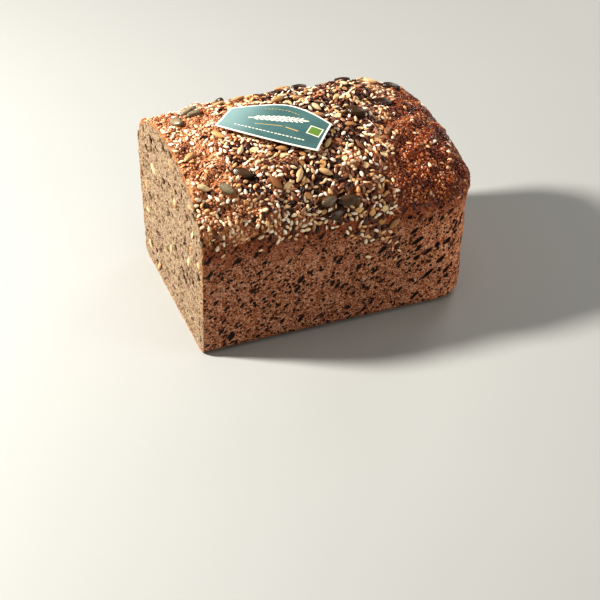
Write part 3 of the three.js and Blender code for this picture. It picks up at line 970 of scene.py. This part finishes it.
def crustFaces(pieces):  # middles and areas of the faces that kernels can lie on
    middles, areas = [], []
    for piece in pieces:
        mesh, faces = piece.data, piece.data.polygons
        middle = readAll(faces, "center", 3).astype(float) / mm
        firstCorner = readAll(faces, "loop_start", kind=np.int32)
        firstPoint = readAll(mesh.loops, "vertex_index", kind=np.int32)[firstCorner]
        keep = readAll(faces, "loop_total", kind=np.int32) < 9  # not the large flat ones
        keep &= readValues(mesh, "crumb")[firstPoint] < 0.5
        keep &= (middle[:, 0] > 0.8 - endX) & (middle[:, 2] > 40)
        middles.append(middle[keep])
        areas.append(readAll(faces, "area")[keep].astype(float))
    return np.concatenate(middles), np.concatenate(areas)


def groundMesh(pieces):
    points, faces, start = [], [], 0
    for piece in pieces:
        mesh = piece.data
        mesh.calc_loop_triangles()
        points.append(readPoints(mesh) / mm)
        faces.append(readAll(mesh.loop_triangles, "vertices", 3, np.int32) + start)
        start += len(mesh.vertices)
    return np.concatenate(points), np.concatenate(faces)


def cutThrough(kind, bare, rng):  # kernels in the cut face, each pressed in where the crumb has no hole
    rows = []
    while len(rows) < kind["cut"][0]:
        y, z, size = rng.uniform(-50, 50), rng.uniform(5, 98), rng.uniform(0.7, 1.0)
        angle, tone, swing = rng.uniform(0, 2 * math.pi), rng.uniform(0.1, 0.8), rng.uniform(-0.5, 0.5)
        if z > topHeight(-1, y / sideY) - 5:
            continue
        hit = bare.ray_cast(Vector((-endX - 5, y, z)), Vector((1, 0, 0)))[0]
        if hit is None or hit.x > 0.6 - endX:
            continue
        ahead = Vector((math.sin(swing), math.cos(angle), math.sin(angle))).normalized()
        up = (Vector((-1, 0, 0)) + ahead * ahead.x).normalized()
        centre = (hit.x + kind["half"][2] * size * 0.5, y, z)
        turn = np.array([ahead[:], up.cross(ahead)[:], up[:]]).T
        rows.append((centre, turn, size * np.ones(3), 0.0, tone))
    return gatherCopies(rows)


def makeKernels(pieces):
    rng = np.random.default_rng(24)
    skin = crustFaces(pieces)
    points, faces = groundMesh(pieces)
    bare = BVHTree.FromPolygons(points.tolist(), faces.tolist())
    taken = {"spots": np.empty((0, 3)), "reach": np.empty(0)}
    for name, kind in kernelKinds.items():
        ground = BVHTree.FromPolygons(points.tolist(), faces.tolist())
        copies = scatterKernels(kind, ground, bare, skin, taken, rng)
        if not kind["sides"]:  # the crust's crumbs change colour in patches
            patch = 0.45 * noiseAt(copies["spot"], 7, 3, 14.0)
            paler = 0.2 * (1 - smooth(copies["spot"][:, 0], -55, 10))
            copies["tone"] = clamp01(copies["tone"] * 0.55 + 0.2 + patch + paler)
        mesh, newPoints, newFaces = joinCopies(name, kind, copies)
        material = kernelMaterial(name + "Finish", kind)
        addPiece(mesh, material, "loaf")
        if kind["cut"]:
            cut, *_ = joinCopies(kind["cut"][1], kind, cutThrough(kind, bare, rng))
            addPiece(cut, material, "loaf")
        faces = np.concatenate([faces, newFaces + len(points)])
        points = np.concatenate([points, newPoints])
        print(name + ":", len(copies["tone"]), "laid,", len(mesh.polygons), "faces")


makeKernels(breadPieces)


# The label's sheet and its print. Where the real one has words there are a wheat sprig and rows of dashes.
labelColours = palette(
    field="#4a6e6d",
    fieldDeep="#3f6261",
    # painted sheen: a paler field towards the label's left end
    fieldWorn="#a9c6c4",
    paper="#f1efe4",
    cream="#f4efdc",
    gold="#cfae6a",
    green="#658735",
)


def labelMaterial():
    material, tree, shader, where = startMaterial("labelFinish")
    c, border, soft = labelColours, labelSheet["border"], labelSheet["borderSoft"]
    fibre = noiseOn(tree, where, 0.6, 3, 0.7)
    worn = plus(tree, attribute(tree, "edge"), times(tree, calc(tree, "SUBTRACT", fibre, 0.5), 0.25))
    field = mix(tree, spread(tree, noiseOn(tree, where, 9, 3), 0.3, 0.7), c["field"], c["fieldDeep"])
    # painted sheen: the field turns paler towards the left end
    field = mix(tree, spread(tree, attribute(tree, "along"), 0.0, -1.0, 0.0, 0.5), field, c["fieldWorn"])
    onFace = calc(tree, "GREATER_THAN", attribute(tree, "face"), 0.5)
    inside = times(tree, spread(tree, worn, border - soft, border + soft), onFace)
    fillSockets(shader, {
        "Base Color": mix(tree, inside, c["paper"], field),
        "Roughness": 0.6,
        "Specular IOR Level": 0.35,
        "Coat Weight": 0.12,
        "Coat Roughness": 0.45,
        "Normal": bumpOf(tree, fibre, 0.03),
    })
    return material


def printMaterial():
    material, tree, shader, where = startMaterial("printFinish")
    stops = [(0.0, labelColours["cream"]), (0.25, labelColours["gold"]), (0.75, labelColours["green"])]
    ink = rampOn(tree, attribute(tree, "ink"), stops, "CONSTANT")
    fade = times(tree, spread(tree, noiseOn(tree, where, 0.7, 2), 0.55, 0.8), 0.25)
    fillSockets(shader, {"Base Color": mix(tree, fade, ink, labelColours["field"]), "Roughness": 0.45})
    return material


def makeSheet():
    mesh = meshFrom(gridBox(labelSheet["cells"]), "labelSheet")
    box = readPoints(mesh)
    s, t, onFace = box[:, 0], (box[:, 1] + 1) / 2, box[:, 2] > 0
    upper, lower = labelEdges(s)
    up = -lower + (upper + lower) * t
    along = s * labelSheet["halfLength"]
    writePoints(mesh, labelPoint(along, up, labelSheet["thickness"] * onFace) * mm)
    slope = labelSheet["arch"] / labelSheet["halfLength"]
    across = np.minimum(upper - up, up + lower) / math.hypot(1, slope * 0.7)
    edge = np.minimum((1 - np.abs(s)) * labelSheet["halfLength"], across)
    storeValues(mesh, edge=edge, along=s, face=onFace.astype(float))
    mesh.shade_smooth()
    mesh.set_sharp_from_angle(angle=math.radians(40))
    return addPiece(mesh, labelMaterial(), "label")


# Places in the label's own millimetres: along its length, then up.
labelPrint = {
    "raise": 0.04,
    "thick": 0.03,
    "inks": {"cream": 0.0, "gold": 0.5, "green": 1.0},
    "stem": ((-13.8, 1.8), (12.6, 6.6), 0.32),        # ends and half width
    "ears": {"first": 0.16, "last": 0.97, "pairs": 10, "size": (1.75, 0.62), "open": 27, "off": 1.45},
    "tip": 1.05,
    "rules": [((-8.5, -2.5), (4.9, -0.6), 0.2), ((6.6, -0.8), (13.3, -1.5), 0.32)],
    "rows": [
        {"ink": "gold", "ends": ((-8.6, 11.2), (8.7, 10.6)), "count": 11, "size": (0.5, 0.22), "rise": 1.4},
        {"ink": "cream", "ends": ((-17.4, -5.6), (17.6, -6.2)), "count": 19, "size": (0.68, 0.3),
         "rise": -1.0},
    ],
    "block": {"centre": (20.7, 1.5), "turn": -4, "outer": (3.4, 2.95), "inner": (2.8, 2.4)},
}


def onLine(ends, share):
    (x0, y0), (x1, y1) = ends
    return x0 + (x1 - x0) * share, y0 + (y1 - y0) * share, math.atan2(y1 - y0, x1 - x0)


# Every mark of the print: leaf or bar, ink, place, turn and half sizes.
def printMarks():
    *stem, half = labelPrint["stem"]
    x, y, turn = onLine(stem, 0.5)
    yield "bar", "cream", (x, y), turn, (math.dist(*stem) / 2, half)
    ears = labelPrint["ears"]
    last = ears["pairs"] - 1
    for i in range(ears["pairs"]):
        x, y, turn = onLine(stem, ears["first"] + (ears["last"] - ears["first"]) * i / last)
        grow = 1 - 0.25 * abs(2 * i / last - 1)
        for side in (1, -1):
            off = side * ears["off"] * grow
            place = (x - math.sin(turn) * off, y + math.cos(turn) * off)
            size = [v * grow for v in ears["size"]]
            yield "leaf", "cream", place, turn + side * math.radians(ears["open"]), size
    x, y, turn = onLine(stem, labelPrint["tip"])
    yield "leaf", "cream", (x, y), turn, ears["size"]
    for *ends, half in labelPrint["rules"]:
        x, y, turn = onLine(ends, 0.5)
        yield "bar", "gold", (x, y), turn, (math.dist(*ends) / 2, half)
    for row in labelPrint["rows"]:
        long, wide = row["size"]
        for i in range(row["count"]):
            share = i / (row["count"] - 1)
            x, y, turn = onLine(row["ends"], share)
            bow = row["rise"] * (1 - (2 * share - 1) ** 2)
            bent = turn + math.atan2(-4 * row["rise"] * (2 * share - 1), math.dist(*row["ends"]))
            yield "bar", row["ink"], (x, y + bow), bent, (long * (0.75 + 0.5 * ((i * 7) % 5) / 4), wide)
    block = labelPrint["block"]
    for ink, size in (("cream", block["outer"]), ("green", block["inner"])):
        yield "bar", ink, block["centre"], math.radians(block["turn"]), size


def makePrint():
    bm, inkOf, thick = bmesh.new(), [], labelPrint["thick"]
    for kind, ink, place, turn, size in printMarks():
        above = thick if ink == "green" else 0  # the green lies on its cream border
        spot = Matrix.Translation((*place, above))
        matrix = spot @ Matrix.Rotation(turn, 4, "Z") @ Matrix.Diagonal((*size, 1, 1))
        if kind == "leaf":
            bmesh.ops.create_circle(bm, cap_ends=True, segments=12, radius=1, matrix=matrix)
        else:
            cells = max(1, round(size[0] * 1.6))
            bmesh.ops.create_grid(bm, x_segments=cells, y_segments=1, size=1, matrix=matrix)
        inkOf.extend([labelPrint["inks"][ink]] * (len(bm.verts) - len(inkOf)))
    layer = bm.verts.layers.float.new("ink")
    for v, value in zip(bm.verts, inkOf):
        v[layer] = value
    raised = bmesh.ops.extrude_face_region(bm, geom=bm.faces[:], use_keep_orig=True)
    tops = [v for v in raised["geom"] if isinstance(v, bmesh.types.BMVert)]
    bmesh.ops.translate(bm, verts=tops, vec=(0, 0, thick))
    bmesh.ops.recalc_face_normals(bm, faces=bm.faces)
    mesh = meshFrom(bm, "labelPrint")
    flat = readPoints(mesh)
    above = labelSheet["thickness"] + labelPrint["raise"] + flat[:, 2]
    writePoints(mesh, labelPoint(flat[:, 0], flat[:, 1], above) * mm)
    return addPiece(mesh, printMaterial(), "label")


makeSheet()
makePrint()
print("label: sheet and print")


# View and light
cameraSet = {
    "place": (-281.6, -738.0, 565.2), "aim": (-11.3, -23.2, 0.0), "lens": 105.86, "sensor": 36.0,
    "clip": (0.05, 20.0),
}
lightSet = {
    "window": {"place": (-740, 240, 640), "size": 140, "power": 20.0, "colour": (1.0, 0.96, 0.91)},
    "sky": {"place": (100, -200, 1100), "size": 900, "power": 2.2, "colour": (1.0, 0.98, 0.95)},
    "doorway": {"place": (620, 520, 420), "size": 420, "power": 1.8, "colour": (1.0, 0.97, 0.93)},
    "bounce": {"place": (760, -640, 280), "size": 600, "power": 3.4, "colour": (1.0, 0.95, 0.89)},
}
lightAim = Vector((0, 0, 0.05))
roomLight = {"colour": (1.0, 0.98, 0.95, 1.0), "strength": 0.1}    # from all round
floorSet = {"size": 3.0, "tones": ("#a9aaa7", "#afb1ad"), "patch": 400, "rough": 0.7}


def makeCamera():
    camera = addObject("photoCamera", bpy.data.cameras.new("photoCamera"))
    place, aim = Vector(cameraSet["place"]) * mm, Vector(cameraSet["aim"]) * mm
    camera.location = place
    camera.rotation_euler = (aim - place).to_track_quat("-Z", "Y").to_euler()
    camera.data.lens, camera.data.sensor_width = cameraSet["lens"], cameraSet["sensor"]
    camera.data.clip_start, camera.data.clip_end = cameraSet["clip"]
    bpy.context.scene.camera = camera


def makeLights():
    for name, s in lightSet.items():
        lamp = bpy.data.lights.new(name, "AREA")
        lamp.shape, lamp.size, lamp.energy, lamp.color = "DISK", s["size"] * mm, s["power"], s["colour"]
        light = addObject(name, lamp)
        light.location = Vector(s["place"]) * mm
        light.rotation_euler = (lightAim - light.location).to_track_quat("-Z", "Y").to_euler()
    world = bpy.data.worlds.new("softRoom")
    world.use_nodes = True
    background = world.node_tree.nodes["Background"]
    fillSockets(background, {0: roomLight["colour"], 1: roomLight["strength"]})
    bpy.context.scene.world = world


def makeFloor():
    bm = bmesh.new()
    bmesh.ops.create_grid(bm, x_segments=1, y_segments=1, size=floorSet["size"])
    floor = addObject("floor", meshFrom(bm, "floor"))
    material, tree, shader, where = startMaterial("floorPaint")
    first, second = [hexColour(text) for text in floorSet["tones"]]
    tone = mix(tree, noiseOn(tree, where, floorSet["patch"]), first, second)
    fillSockets(shader, {"Base Color": tone, "Roughness": floorSet["rough"]})
    floor.data.materials.append(material)


makeCamera()
makeLights()
makeFloor()
bpy.context.scene.view_settings.view_transform = "Standard"
bpy.context.scene.view_settings.look = "Medium High Contrast"
print("camera, lights and floor set")
